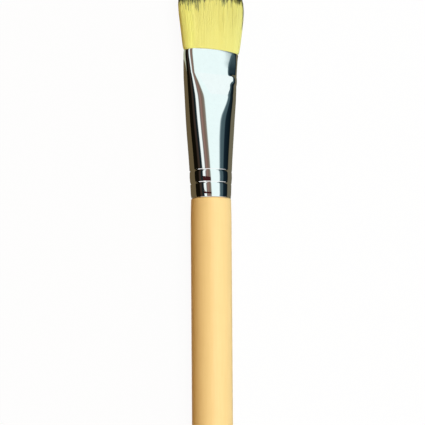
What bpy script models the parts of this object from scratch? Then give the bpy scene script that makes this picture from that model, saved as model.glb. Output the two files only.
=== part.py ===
"""A foundation brush with a flat tuft of two-tone filaments.

Metres, +Z up. The brush lies on its side: its axis runs along +X at the height of the
handle's radius, the tuft points to +X and the flat of the tuft faces +Z. The origin is on
the surface that the brush lies on, under the middle of its length.

Every piece is modelled upright and rides on one empty that lays the brush down. In that
upright frame the height runs from the handle's shoulder towards the tuft, the width of the
flat tuft runs along Y, and its thickness along X.
"""

import math
import random

import bmesh
import bpy

# Handle: turned wood, lacquered, with a tenon that goes into the ferrule
HANDLE_LENGTH = 0.1160
HANDLE_RADIUS = 0.00575
HANDLE_GRIP_LENGTH = 0.0640
HANDLE_GRIP_END_RADIUS = 0.00564
HANDLE_TAIL_RADIUS = 0.0040
TAIL_DOME_LENGTH = 0.0034
SHOULDER_RADIUS = 0.00557
SHOULDER_SWELL_LENGTH = 0.0070
SHOULDER_EASE = 0.00025
TENON_LENGTH = 0.0205
TENON_CHAMFER = 0.0009
GLUE_GROOVE_HEIGHT = 0.0135
GLUE_GROOVE_WIDTH = 0.0030
GLUE_GROOVE_DEPTH = 0.0008

# Ferrule: a seamless tube, round at the handle and pressed flat at the tuft
FERRULE_LENGTH = 0.0417
FERRULE_WALL = 0.0004
FERRULE_RIM_RADIUS = 0.00566
RIM_TURN_LENGTH = 0.0012
RIM_TURN_DEPTH = 0.00018
PRESS_LENGTH = 0.0070
PRESS_HALF_WIDTH = 0.00783
PRESS_HALF_THICKNESS = 0.0030
PRESS_FLAT_HALF_WIDTH = 0.0048
MOUTH_HALF_WIDTH = 0.0081
MOUTH_HALF_THICKNESS = 0.0021
MOUTH_FLAT_HALF_WIDTH = 0.0049
MOUTH_BOW = 0.0004
CRIMP_HEIGHTS = (0.0039, 0.0074)
CRIMP_DEPTH = 0.00015
CRIMP_HALF_WIDTH = 0.0005

# Tuft: filaments set in a root block inside the ferrule
TUFT_LENGTH = 0.0230
TUFT_SIDE_LENGTH = 0.0155
TUFT_HALF_WIDTH = 0.01005
TUFT_TIP_HALF_WIDTH = 0.0094
TUFT_HALF_THICKNESS = 0.0022
TUFT_TIP_HALF_THICKNESS = 0.0011
FACE_LAYER_DROP = 0.0008
LENGTH_SCATTER = 0.0005
FAN_HEIGHT = 0.0045
COLOUR_LINE_HEIGHT = 0.0150
COLOUR_LINE_SIDE_DROP = 0.0017
COLOUR_LINE_SCATTER = 0.0006
BED_DEPTH = 0.0005
ROOT_DEPTH = 0.0103
BINDING_DEPTH = 0.0040
BINDING_WIDTH = 0.0020
BINDING_THICKNESS = 0.00035
STRAND_COLUMNS = 24
STRAND_ROWS = 8
SCATTER_SEED = 7

# Clearances between pieces that touch on the real brush
SEAT_GAP = 0.0003
FIT_GAP = 0.0003
BED_GAP = 0.0003
MERGE_DISTANCE = 0.000001

# Mesh fineness
HANDLE_SIDES = 24
FERRULE_SIDES = 48
INNER_SIDES = 32
TAIL_DOME_STEPS = 5
ARC_STEPS = 48

# Rows of (share of the way from the rim to the press, share of the way from the rim's
# radius to the size at the press)
WIDTH_SHARES = ((0.0, 0.0), (0.15, 0.12), (0.3, 0.265), (0.6, 0.63), (0.85, 0.86), (1.0, 1.0))
THICKNESS_SHARES = (
    (0.0, 0.0), (0.3, 0.11), (0.6, 0.22), (0.76, 0.295), (0.81, 0.34),
    (0.84, 0.405), (0.875, 0.5), (0.91, 0.6), (0.94, 0.69), (0.97, 0.81), (1.0, 1.0),
)
FLAT_SHARES = (
    (0.0, 0.0), (0.3, 0.0), (0.56, 0.06), (0.66, 0.13), (0.76, 0.28),
    (0.84, 0.44), (0.9, 0.61), (0.94, 0.7), (0.975, 0.83), (1.0, 1.0),
)
LOFT_STATION_SHARES = (0.38, 0.46, 0.54, 0.62, 0.7, 0.77, 0.83, 0.89, 0.95, 1.0)
CRIMP_STATION_SHARES = (-1.0, -0.5, 0.0, 0.5, 1.0)
RIM_STATION_SHARES = (0.0, 0.35, 0.7, 1.0)

# Rows of (share of the grip-to-tail length, share of the way from grip radius to tail radius)
SLIM_SHARES = ((0.0, 0.0), (0.15, 0.03), (0.35, 0.17), (0.55, 0.4), (0.78, 0.74), (1.0, 1.0))
GRIP_STATION_SHARES = (0.5, 1.0)

# Rows of (share of the swell's length below the shoulder, share of the way from the
# shoulder's radius to the handle's)
SWELL_SHARES = ((0.36, 0.5), (0.7, 0.86), (1.0, 1.0))

# Rows of (share of the height from the mouth to the tuft's end, share of the way from the
# size at the mouth to the size where the tuft is largest)
FAN_WIDTH_SHARES = ((0.0, 0.0), (0.04, 0.28), (0.14, 0.47), (0.26, 0.65), (0.4, 0.84), (0.55, 1.0), (1.0, 1.0))
FAN_THICKNESS_SHARES = ((0.0, 0.0), (0.2, 1.0), (0.4, 0.95), (1.0, 1.0))
TIP_THINNING_START_SHARE = 0.3
TIP_NARROWING_START_SHARE = 0.6

# How much of its cell each strand fills at the bed, over the ferrule and at the colour line
BED_FILL_SHARE = 0.74
FAN_FILL_SHARE = 0.8
COLOUR_LINE_FILL_SHARE = 0.74


def clear_scene():
    for old in list(bpy.data.objects):
        bpy.data.objects.remove(old, do_unlink=True)


def new_collection(name):
    group = bpy.data.collections.new(name)
    bpy.context.scene.collection.children.link(group)
    return group


def make_material(name, colour, roughness, metallic=0.0, coat=0.0):
    material = bpy.data.materials.new(name)
    material.use_nodes = True
    material.diffuse_color = (*colour, 1.0)
    material.roughness = roughness
    material.metallic = metallic
    shader = material.node_tree.nodes["Principled BSDF"]
    shader.inputs["Base Color"].default_value = (*colour, 1.0)
    shader.inputs["Roughness"].default_value = roughness
    shader.inputs["Metallic"].default_value = metallic
    shader.inputs["Coat Weight"].default_value = coat
    return material


def smooth_value(rows, at):
    """The value on the smooth curve through rows of (place, value), at a place.

    The curve never swings past two neighbouring values."""
    places = [row[0] for row in rows]
    values = [row[1] for row in rows]
    if at <= places[0]:
        return values[0]
    if at >= places[-1]:
        return values[-1]
    slopes = [(values[i + 1] - values[i]) / (places[i + 1] - places[i]) for i in range(len(rows) - 1)]
    tangents = [slopes[0]]
    for before, after in zip(slopes, slopes[1:]):
        if before * after <= 0:
            tangents.append(0.0)
        else:
            tangents.append(2 * before * after / (before + after))
    tangents.append(slopes[-1])
    i = max(index for index, start in enumerate(places[:-1]) if start <= at)
    span = places[i + 1] - places[i]
    t = (at - places[i]) / span
    start_weight = (1 + 2 * t) * (1 - t) ** 2
    end_weight = t * t * (3 - 2 * t)
    lean_in = t * (1 - t) ** 2 * span * tangents[i]
    lean_out = t * t * (t - 1) * span * tangents[i + 1]
    return start_weight * values[i] + end_weight * values[i + 1] + lean_in + lean_out


def between(start, end, share):
    return start + (end - start) * share


def crimp_depth(height):
    """Depth of the two rolled crimps at a height above the ferrule's rim."""
    for crimp_height in CRIMP_HEIGHTS:
        share = (height - crimp_height) / CRIMP_HALF_WIDTH
        if abs(share) < 1:
            return CRIMP_DEPTH * math.cos(share * math.pi / 2) ** 2
    return 0.0


def rim_turn(height):
    """How far the ferrule's rim is turned in at a height above it."""
    share = max(0.0, 1 - height / RIM_TURN_LENGTH)
    return RIM_TURN_DEPTH * share * share


def ferrule_section(height):
    """Half-width, half-thickness and half the flat of the ferrule's outside.

    The height is measured from the ferrule's rim. Below the press the tube swells from
    its round rim, and along the press its two faces are flat."""
    blend_length = FERRULE_LENGTH - PRESS_LENGTH
    if height >= blend_length:
        share = (height - blend_length) / PRESS_LENGTH
        half_width = between(PRESS_HALF_WIDTH, MOUTH_HALF_WIDTH, share)
        half_thickness = between(PRESS_HALF_THICKNESS, MOUTH_HALF_THICKNESS, share)
        half_flat = between(PRESS_FLAT_HALF_WIDTH, MOUTH_FLAT_HALF_WIDTH, share)
        return half_width, half_thickness, half_flat
    share = height / blend_length
    half_width = between(FERRULE_RIM_RADIUS, PRESS_HALF_WIDTH, smooth_value(WIDTH_SHARES, share))
    half_thickness = between(
        FERRULE_RIM_RADIUS, PRESS_HALF_THICKNESS, smooth_value(THICKNESS_SHARES, share)
    )
    half_flat = PRESS_FLAT_HALF_WIDTH * smooth_value(FLAT_SHARES, share)
    pressed = crimp_depth(height) + rim_turn(height)
    return half_width - pressed, half_thickness - pressed, half_flat


def inset_section(section, inset):
    half_width, half_thickness, half_flat = section
    return half_width - inset, half_thickness - inset, min(half_flat, half_width - inset)


def quarter_outline(section, steps):
    """Points (thickness, width) from the middle of the flat to the side, evenly spaced."""
    half_width, half_thickness, half_flat = section
    corner = half_width - half_flat
    fine = [(half_thickness, 0.0)]
    for step in range(ARC_STEPS + 1):
        angle = math.pi / 2 * step / ARC_STEPS
        fine.append((half_thickness * math.cos(angle), half_flat + corner * math.sin(angle)))
    lengths = [0.0]
    for start, end in zip(fine, fine[1:]):
        lengths.append(lengths[-1] + math.dist(start, end))
    points = []
    segment = 0
    for step in range(steps):
        target = lengths[-1] * step / steps
        while lengths[segment + 1] < target:
            segment += 1
        share = (target - lengths[segment]) / max(lengths[segment + 1] - lengths[segment], MERGE_DISTANCE)
        start = fine[segment]
        end = fine[segment + 1]
        points.append((between(start[0], end[0], share), between(start[1], end[1], share)))
    return points


def oval_outline(section, sides):
    """The whole outline of a section, once round, starting at the middle of one flat."""
    quarter = quarter_outline(section, sides // 4)
    turned = [(-x, y) for x, y in quarter[1:]][::-1]
    side = [(0.0, section[0])]
    half = quarter + side + turned
    return half + [(-x, -y) for x, y in half]


def add_loft(mesh, sections, sides):
    """Rings of points at (height, section) rows, joined by faces. Returns the rings."""
    rings = []
    for height, section in sections:
        rings.append([mesh.verts.new((x, y, height)) for x, y in oval_outline(section, sides)])
    for lower, upper in zip(rings, rings[1:]):
        for i in range(sides):
            j = (i + 1) % sides
            mesh.faces.new((lower[i], lower[j], upper[j], upper[i]))
    return rings


def finish_mesh(name, mesh, group, axis, materials, sharp_degrees=35.0):
    bmesh.ops.recalc_face_normals(mesh, faces=mesh.faces[:])
    if mesh.calc_volume(signed=True) < 0:
        bmesh.ops.reverse_faces(mesh, faces=mesh.faces[:])
    data = bpy.data.meshes.new(name)
    mesh.to_mesh(data)
    mesh.free()
    for material in materials:
        data.materials.append(material)
    data.shade_smooth()
    data.set_sharp_from_angle(angle=math.radians(sharp_degrees))
    return place(name, data, group, axis)


def place(name, data, group, axis):
    piece = bpy.data.objects.new(name, data)
    piece.parent = axis
    group.objects.link(piece)
    return piece


def make_turned(name, profile, sides, closed, group, axis, material):
    """A profile of (radius, height) points, from the top down the outer side, turned round."""
    data = bpy.data.meshes.new(name)
    points = [(radius, 0.0, height) for radius, height in profile]
    edges = [(i, i + 1) for i in range(len(points) - 1)]
    if closed:
        edges.append((len(points) - 1, 0))
    data.from_pydata(points, edges, [])
    data.materials.append(material)
    piece = place(name, data, group, axis)
    screw = piece.modifiers.new("Turn", "SCREW")
    screw.axis = "Z"
    screw.angle = 2 * math.pi
    screw.steps = sides
    screw.render_steps = sides
    screw.use_merge_vertices = True
    screw.merge_threshold = MERGE_DISTANCE
    screw.use_smooth_shade = True
    # Half a facet of turn lays the handle on a facet and not on an edge
    piece.rotation_euler = (0.0, 0.0, math.pi / sides)
    return piece


def tenon_radius(height):
    """The tenon fits the inside of the ferrule, crimps included."""
    section = ferrule_section(height - SEAT_GAP)
    return section[1] - FERRULE_WALL - FIT_GAP


def glue_groove_bottom():
    return tenon_radius(GLUE_GROOVE_HEIGHT) - GLUE_GROOVE_DEPTH


def handle_profile():
    tenon_top = TENON_LENGTH
    profile = [
        (0.0, tenon_top),
        (tenon_radius(tenon_top) - TENON_CHAMFER, tenon_top),
        (tenon_radius(tenon_top - TENON_CHAMFER), tenon_top - TENON_CHAMFER),
    ]
    groove_top = GLUE_GROOVE_HEIGHT + GLUE_GROOVE_WIDTH / 2
    groove_foot = GLUE_GROOVE_HEIGHT - GLUE_GROOVE_WIDTH / 2
    profile.append((tenon_radius(groove_top), groove_top))
    profile.append((glue_groove_bottom(), groove_top))
    profile.append((glue_groove_bottom(), groove_foot))
    profile.append((tenon_radius(groove_foot), groove_foot))
    for crimp_height in reversed(CRIMP_HEIGHTS):
        for share in reversed(CRIMP_STATION_SHARES):
            height = SEAT_GAP + crimp_height + share * CRIMP_HALF_WIDTH
            profile.append((tenon_radius(height), height))
    for share in reversed(RIM_STATION_SHARES):
        height = SEAT_GAP + share * RIM_TURN_LENGTH
        profile.append((tenon_radius(height), height))
    profile.append((tenon_radius(SEAT_GAP), 0.0))
    profile.append((SHOULDER_RADIUS - SHOULDER_EASE, 0.0))
    eased = SHOULDER_EASE * (1 - math.cos(math.pi / 4))
    profile.append((SHOULDER_RADIUS - eased, -eased))
    profile.append((SHOULDER_RADIUS, -SHOULDER_EASE))
    for place_share, radius_share in SWELL_SHARES:
        radius = between(SHOULDER_RADIUS, HANDLE_RADIUS, radius_share)
        profile.append((radius, -place_share * SHOULDER_SWELL_LENGTH))
    for share in GRIP_STATION_SHARES:
        radius = between(HANDLE_RADIUS, HANDLE_GRIP_END_RADIUS, share)
        profile.append((radius, -between(SHOULDER_SWELL_LENGTH, HANDLE_GRIP_LENGTH, share)))
    slim_length = HANDLE_LENGTH - HANDLE_GRIP_LENGTH - TAIL_DOME_LENGTH
    for place_share, radius_share in SLIM_SHARES[1:]:
        radius = between(HANDLE_GRIP_END_RADIUS, HANDLE_TAIL_RADIUS, radius_share)
        profile.append((radius, -HANDLE_GRIP_LENGTH - place_share * slim_length))
    for step in range(1, TAIL_DOME_STEPS):
        angle = math.pi / 2 * step / TAIL_DOME_STEPS
        height = -HANDLE_LENGTH + TAIL_DOME_LENGTH * (1 - math.sin(angle))
        profile.append((HANDLE_TAIL_RADIUS * math.cos(angle), height))
    profile.append((0.0, -HANDLE_LENGTH))
    return profile


def build_handle(group, axis):
    lacquer = make_material("cream_lacquer", (0.95, 0.74, 0.36), 0.3, coat=0.5)
    return make_turned("handle", handle_profile(), HANDLE_SIDES, False, group, axis, lacquer)


def build_tenon_glue(group, axis):
    """Set glue that fills the groove round the tenon."""
    glue = make_material("set_glue", (0.78, 0.66, 0.4), 0.4)
    inner = glue_groove_bottom() + FIT_GAP
    outer = tenon_radius(GLUE_GROOVE_HEIGHT)
    top = GLUE_GROOVE_HEIGHT + GLUE_GROOVE_WIDTH / 2 - FIT_GAP
    foot = GLUE_GROOVE_HEIGHT - GLUE_GROOVE_WIDTH / 2 + FIT_GAP
    profile = [(inner, top), (outer, top), (outer, foot), (inner, foot)]
    return make_turned("tenon_glue", profile, INNER_SIDES, True, group, axis, glue)


def ferrule_stations():
    """Heights above the rim at which the tube's section is drawn."""
    heights = [share * RIM_TURN_LENGTH for share in RIM_STATION_SHARES]
    for crimp_height in CRIMP_HEIGHTS:
        heights += [crimp_height + share * CRIMP_HALF_WIDTH for share in CRIMP_STATION_SHARES]
    blend_length = FERRULE_LENGTH - PRESS_LENGTH
    heights += [share * blend_length for share in LOFT_STATION_SHARES]
    heights.append(FERRULE_LENGTH)
    return sorted(heights)


def build_ferrule(group, axis):
    """The tube is a loft from round to flat, given its wall by Solidify."""
    chrome = make_material("bright_plate", (0.82, 0.83, 0.84), 0.08, metallic=1.0)
    mesh = bmesh.new()
    rows = [(SEAT_GAP + height, ferrule_section(height)) for height in ferrule_stations()]
    rings = add_loft(mesh, rows, FERRULE_SIDES)
    for vert in rings[-1]:
        vert.co.z -= MOUTH_BOW * (vert.co.y / MOUTH_HALF_WIDTH) ** 2
    piece = finish_mesh("ferrule", mesh, group, axis, [chrome])
    wall = piece.modifiers.new("Wall", "SOLIDIFY")
    wall.thickness = FERRULE_WALL
    wall.offset = -1.0
    wall.use_even_offset = True
    wall.use_rim = True
    return piece


def bore_section(height):
    """Section of what fills the ferrule's bore at a height above the handle's shoulder."""
    return inset_section(ferrule_section(height - SEAT_GAP), FERRULE_WALL + FIT_GAP)


def mouth_height():
    return SEAT_GAP + FERRULE_LENGTH


def build_root_resin(group, axis):
    """Set resin that fills the bore between the tenon and the roots."""
    amber = make_material("amber_resin", (0.7, 0.45, 0.16), 0.25)
    foot = TENON_LENGTH + SEAT_GAP
    top = mouth_height() - ROOT_DEPTH - BED_GAP
    heights = [foot]
    blend_length = FERRULE_LENGTH - PRESS_LENGTH
    for share in LOFT_STATION_SHARES:
        height = SEAT_GAP + share * blend_length
        if foot < height < top:
            heights.append(height)
    heights.append(top)
    mesh = bmesh.new()
    rings = add_loft(mesh, [(height, bore_section(height)) for height in heights], INNER_SIDES)
    mesh.faces.new(rings[0])
    mesh.faces.new(rings[-1])
    return finish_mesh("root_resin", mesh, group, axis, [amber])


def binding_heights():
    top = mouth_height() - BINDING_DEPTH
    return top - BINDING_WIDTH, top


def build_root_binding(group, axis):
    """A wound thread, drawn as one band, that holds the roots together."""
    thread = make_material("binding_thread", (0.86, 0.84, 0.78), 0.9)
    foot, top = binding_heights()
    mesh = bmesh.new()
    outer = [(height, bore_section(height)) for height in (foot, top)]
    inner = [(height, inset_section(section, BINDING_THICKNESS)) for height, section in outer]
    outer_rings = add_loft(mesh, outer, INNER_SIDES)
    inner_rings = add_loft(mesh, inner, INNER_SIDES)
    for outer_ring, inner_ring in zip(outer_rings, inner_rings):
        for i in range(INNER_SIDES):
            j = (i + 1) % INNER_SIDES
            mesh.faces.new((outer_ring[i], outer_ring[j], inner_ring[j], inner_ring[i]))
    return finish_mesh("root_binding", mesh, group, axis, [thread])


def tuft_section(height):
    """Half-width, half-thickness and half the flat of the tuft at a height.

    Inside the ferrule it follows the bore. Over the mouth it fans out, thins towards the
    tips and narrows a little there."""
    mouth = mouth_height()
    if height <= mouth:
        return bore_section(height)
    half_width, half_thickness, half_flat = bore_section(mouth)
    share = (height - mouth) / TUFT_LENGTH
    wide = between(half_width, TUFT_HALF_WIDTH, smooth_value(FAN_WIDTH_SHARES, share))
    thick = between(half_thickness, TUFT_HALF_THICKNESS, smooth_value(FAN_THICKNESS_SHARES, share))
    thinning = max(0.0, share - TIP_THINNING_START_SHARE) / (1 - TIP_THINNING_START_SHARE)
    narrowing = max(0.0, share - TIP_NARROWING_START_SHARE) / (1 - TIP_NARROWING_START_SHARE)
    thick = between(thick, TUFT_TIP_HALF_THICKNESS, thinning)
    wide = between(wide, TUFT_TIP_HALF_WIDTH, narrowing)
    return wide, thick, half_flat * wide / half_width


def place_in_tuft(across, through, height, inset=0.0):
    """The point at a share of the tuft's width and thickness, on its section at a height."""
    half_width, half_thickness, half_flat = inset_section(tuft_section(height), inset)
    corner = half_width - half_flat
    row_half_width = half_flat + corner * math.sqrt(max(0.0, 1 - through * through))
    return through * half_thickness, across * row_half_width, height


def strand_end(across, through, scatter):
    """Height of a strand's tip: the tuft's end is round across and eased on its faces."""
    dome = math.sqrt(max(0.0, 1 - across * across))
    length = between(TUFT_SIDE_LENGTH, TUFT_LENGTH, dome)
    return mouth_height() + length - FACE_LAYER_DROP * through * through - LENGTH_SCATTER * scatter


def colour_line(across, scatter):
    """Height at which a strand turns dark."""
    drop = COLOUR_LINE_SIDE_DROP * across * across + COLOUR_LINE_SCATTER * scatter
    return mouth_height() + COLOUR_LINE_HEIGHT - drop


def cell_centre(corners, height):
    """Middle of a strand's cell at a height, from the cell's corners as shares."""
    points = [place_in_tuft(across, through, height) for across, through in corners]
    return tuple(sum(values) / len(points) for values in zip(*points))


def add_root_block(mesh, rim, insets):
    """Walls that go down from the bed's rim, with a waist where the thread is wound."""
    waist = BINDING_THICKNESS + FIT_GAP
    waist_foot, waist_top = binding_heights()
    mouth = mouth_height()
    levels = [
        (waist_top + FIT_GAP, 0.0),
        (waist_top + FIT_GAP / 2, waist),
        (waist_foot - FIT_GAP / 2, waist),
        (waist_foot - FIT_GAP, 0.0),
        (mouth - PRESS_LENGTH, 0.0),
        (mouth - ROOT_DEPTH, 0.0),
    ]
    for height, inset in levels:
        grown = bmesh.ops.extrude_edge_only(mesh, edges=rim)["geom"]
        rim = [item for item in grown if isinstance(item, bmesh.types.BMEdge)]
        for vert in {vert for edge in rim for vert in edge.verts}:
            vert.co.z = height
            insets[vert] = inset
    bmesh.ops.edgeloop_fill(mesh, edges=rim)


def add_strand(mesh, cell, fills, scatter):
    """One strand raised from a cell of the bed, in three stretches and to a point.

    Its points stay at the cell's corners here, and fills says how far each moves in
    towards the cell's middle."""
    corners = [(vert.co.x, vert.co.y) for vert in cell.verts]
    across = sum(corner[0] for corner in corners) / len(corners)
    through = sum(corner[1] for corner in corners) / len(corners)
    bed_height = cell.verts[0].co.z
    bmesh.ops.inset_individual(mesh, faces=[cell], thickness=0.0)
    levels = [
        (mouth_height() + FAN_HEIGHT, FAN_FILL_SHARE),
        (colour_line(across, scatter.random()), COLOUR_LINE_FILL_SHARE),
    ]
    for vert in cell.verts:
        vert.co.z = bed_height
        fills[vert] = (BED_FILL_SHARE, corners)
    end = cell
    for height, fill in levels:
        end = bmesh.ops.extrude_discrete_faces(mesh, faces=[end])["faces"][0]
        for vert in end.verts:
            vert.co.z = height
            fills[vert] = (fill, corners)
    tip = bmesh.ops.poke(mesh, faces=[end])
    tip["verts"][0].co.z = strand_end(across, through, scatter.random())
    fills[tip["verts"][0]] = (0.0, corners)
    for face in tip["faces"]:
        face.material_index = 1


def build_tuft(group, axis):
    """Strands raised from the cells of a bed, and fused to it and to the root block.

    The mesh is first made with shares across and through the tuft as X and Y. Every point
    then moves to its place on the tuft's section at its height, so no two strands cross."""
    pale = make_material("pale_filament", (0.83, 0.78, 0.2), 0.55)
    dark = make_material("dark_filament", (0.06, 0.07, 0.03), 0.55)
    scatter = random.Random(SCATTER_SEED)
    mesh = bmesh.new()
    bmesh.ops.create_grid(mesh, x_segments=STRAND_COLUMNS, y_segments=STRAND_ROWS, size=1.0)
    for vert in mesh.verts:
        vert.co.z = mouth_height() - BED_DEPTH
    rim = [edge for edge in mesh.edges if edge.is_boundary]
    bmesh.ops.triangulate(mesh, faces=mesh.faces[:])
    cells = mesh.faces[:]
    insets = {}
    add_root_block(mesh, rim, insets)
    fills = {}
    for cell in cells:
        add_strand(mesh, cell, fills, scatter)
    for vert in mesh.verts:
        point = place_in_tuft(vert.co.x, vert.co.y, vert.co.z, insets.get(vert, 0.0))
        if vert in fills:
            fill, corners = fills[vert]
            centre = cell_centre(corners, vert.co.z)
            point = [between(start, end, fill) for start, end in zip(centre, point)]
        vert.co = point
    return finish_mesh("tuft", mesh, group, axis, [pale, dark])


def build_brush():
    clear_scene()
    group = new_collection("foundation_brush")
    axis = bpy.data.objects.new("brush_axis", None)
    group.objects.link(axis)
    reach = mouth_height() + TUFT_LENGTH
    axis_height = HANDLE_RADIUS * math.cos(math.pi / HANDLE_SIDES)
    axis.location = ((HANDLE_LENGTH - reach) / 2, 0.0, axis_height)
    axis.rotation_euler = (0.0, math.pi / 2, 0.0)
    build_handle(group, axis)
    build_tenon_glue(group, axis)
    build_ferrule(group, axis)
    build_root_resin(group, axis)
    build_root_binding(group, axis)
    build_tuft(group, axis)
    bpy.context.view_layer.update()


build_brush()
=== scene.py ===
"""A flat foundation brush: lacquered wooden handle, bright pressed ferrule, two-tone filaments.

Metres. The brush lies along +X with the flat of its tuft up. Each piece is first made
upright, with its height measured from the handle's shoulder, and then laid down.
"""
import math
import random

import bmesh
import bpy
from mathutils import Matrix, Vector


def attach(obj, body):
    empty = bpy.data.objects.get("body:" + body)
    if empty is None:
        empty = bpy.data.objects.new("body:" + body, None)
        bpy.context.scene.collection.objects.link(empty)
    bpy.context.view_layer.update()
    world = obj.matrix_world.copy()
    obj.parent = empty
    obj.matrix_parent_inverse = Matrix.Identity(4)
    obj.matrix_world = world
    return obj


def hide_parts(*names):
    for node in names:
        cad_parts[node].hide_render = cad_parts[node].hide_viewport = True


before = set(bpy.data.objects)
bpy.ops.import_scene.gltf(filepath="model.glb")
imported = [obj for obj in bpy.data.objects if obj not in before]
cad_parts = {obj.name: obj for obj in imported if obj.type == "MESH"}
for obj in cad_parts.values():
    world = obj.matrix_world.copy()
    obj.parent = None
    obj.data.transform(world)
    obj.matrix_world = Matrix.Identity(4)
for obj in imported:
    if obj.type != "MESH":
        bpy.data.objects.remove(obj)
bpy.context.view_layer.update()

# Handle
HANDLE_LENGTH = 0.1160
HANDLE_RADIUS = 0.00575
HANDLE_GRIP_LENGTH = 0.0640
HANDLE_GRIP_END_RADIUS = 0.00554
HANDLE_TAIL_RADIUS = 0.0040
TAIL_DOME_LENGTH = 0.0034
SHOULDER_RADIUS = 0.00557
SHOULDER_SWELL_LENGTH = 0.0070
SHOULDER_EASE = 0.00015
TENON_LENGTH = 0.0205
TENON_CHAMFER = 0.0009
GLUE_GROOVE_HEIGHT = 0.0135
GLUE_GROOVE_WIDTH = 0.0030
GLUE_GROOVE_DEPTH = 0.0008
HANDLE_FACETS = 24
LACQUERED_RADIUS = 0.00567
HANDLE_SPIN_STEPS = 128
TENON_STEPS = 60
SHOULDER_STEPS = 6
SWELL_STEPS = 12
GRIP_STEPS = 8
SLIM_STEPS = 28
DOME_STEPS = 16

# Ferrule
FERRULE_LENGTH = 0.0417
FERRULE_WALL = 0.0004
FERRULE_RIM_RADIUS = 0.00566
RIM_TURN_LENGTH = 0.0012
RIM_TURN_DEPTH = 0.00012
RIM_DROP = 0.0002
PRESS_LENGTH = 0.0070
PRESS_HALF_WIDTH = 0.00783
PRESS_HALF_THICKNESS = 0.0030
PRESS_FLAT_HALF_WIDTH = 0.00505
MOUTH_HALF_WIDTH = 0.00823
MOUTH_HALF_THICKNESS = 0.0021
MOUTH_FLAT_HALF_WIDTH = 0.00515
MOUTH_RISE = 0.00055
MOUTH_BOW = 0.00066
MOUTH_BOW_REACH = 0.0030
MOUTH_SKEW = 0.00012
BEVEL_FOOT = 0.0345
BEVEL_FOOT_LENGTH = 0.0007
BEVEL_SLOPE = 0.235
CROWN_START = 0.0003
CROWN_SLOPE = 0.041
CROWN_FOOT_LENGTH = 0.0045
CRIMP_HEIGHTS = (0.0039, 0.0074)
CRIMP_DEPTH = 0.00011
CRIMP_HALF_WIDTH = 0.0003
CRIMP_SWELL = 0.00006
CLOSE_RINGS_HALF_WIDTH = CRIMP_HALF_WIDTH * 1.5
FERRULE_SIDES = 224
OUTLINE_STEPS = 96
RING_STEP = 0.0004
CLOSE_RING_STEP = 0.00006
RIM_STEPS = 5
LIP_STEPS = 10

# Tuft
TUFT_LENGTH = 0.0230
TUFT_SIDE_LENGTH = 0.0155
TUFT_HALF_WIDTH = 0.00995
TUFT_TIP_HALF_WIDTH = 0.0094
TUFT_HALF_THICKNESS = 0.0022
TUFT_TIP_HALF_THICKNESS = 0.0011
FACE_LAYER_DROP = 0.0008
COLOUR_LINE_HEIGHT = 0.0158
COLOUR_LINE_SIDE_DROP = 0.0019
ROOT_DEPTH = 0.0103
ROOT_SQUEEZE = 0.00045
ROOT_SQUEEZE_DEPTH = 0.0032
COLOUR_LINE_TILT = 0.0016
# Rows of (share across the tuft, half its width, how much further down the dye reaches)
DYED_CLUMPS = ((0.66, 0.14, 0.0029), (-0.52, 0.15, 0.0021))
DYED_EDGE_SHARE = -0.965
DYED_EDGE_LAYERS = (-0.55, 0.0)
MM_PER_METRE = 1000
FILAMENT_RADIUS = 0.000085
FILAMENT_COLUMNS = 180
FILAMENT_ROWS = 40
FILAMENT_LAYERS = 4
SECTION_STEP = 0.0001
STRAND_RISES = (0.0, 0.0003, 0.0009, 0.0020, 0.0040, 0.0070, 0.0105)
STRAND_END_RADIUS_SHARE = 0.1

# How far chance moves the strands, singly and in clumps
CHANCE_SEED = 11
PLACE_JITTER = 0.12
FINE_CLUMPS = 70
BROAD_CLUMPS = 17
LINE_CLUMPS = 30
LINE_CLUMP_SPREAD = 0.0011
END_CLUMPS = 40
END_CLUMP_SPREAD = 0.0007
END_SPREAD = 0.0003
SHORT_STRAND_CHANCE = 0.06
SHORT_STRAND_LOSS = (0.0005, 0.0025)
LINE_SPREAD = 0.0006
DYED_STRAND_CHANCE = 0.07
DYED_STRAND_REACH = (0.0008, 0.0028)
CLUMP_DYED_CHANCE = 0.36
CLUMP_LEAST_REACH = 0.0008
EDGE_DYED_REACH = (0.004, 0.0125)
DRIFT_SPREAD = 0.012
CLUMP_DRIFT = 0.006
LIFT_SPREAD = 0.008
MIDDLE_TINT = 0.6
FINE_CLUMP_TINT = 0.07
BROAD_CLUMP_TINT = 0.05
TINT_SPREAD = 0.06

# Gaps between the pieces, and how close two points are when they are one
SEAT_GAP = 0.0003
FIT_GAP = 0.0003
MOUTH_CLEARANCE = 0.00005
MERGE_DISTANCE = 0.0000005

# Rows of (share of the way along, share of the change that is reached there)
WIDTH_SHARES = ((0.0, 0.0), (0.15, 0.12), (0.3, 0.265), (0.6, 0.63), (0.85, 0.86), (1.0, 1.0))
THICKNESS_SHARES = (
    (0.0, 0.0), (0.3, 0.11), (0.6, 0.22), (0.76, 0.3), (0.81, 0.36),
    (0.84, 0.445), (0.875, 0.555), (0.91, 0.67), (0.94, 0.77), (0.97, 0.88), (1.0, 1.0),
)
LEFT_FLAT_SHARES = (
    (0.0, 0.0), (0.27, 0.0), (0.41, 0.045), (0.56, 0.07), (0.66, 0.08), (0.76, 0.13), (0.8, 0.18),
    (0.84, 0.31), (0.87, 0.45), (0.905, 0.6), (0.94, 0.77), (0.97, 0.91), (1.0, 1.0),
)
RIGHT_FLAT_SHARES = (
    (0.0, 0.0), (0.46, 0.01), (0.56, 0.05), (0.61, 0.09), (0.66, 0.19), (0.7, 0.33), (0.76, 0.53),
    (0.8, 0.64), (0.84, 0.71), (0.87, 0.79), (0.905, 0.85), (0.925, 0.86), (0.945, 1.08),
    (0.985, 1.13), (1.0, 1.0),
)
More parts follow.
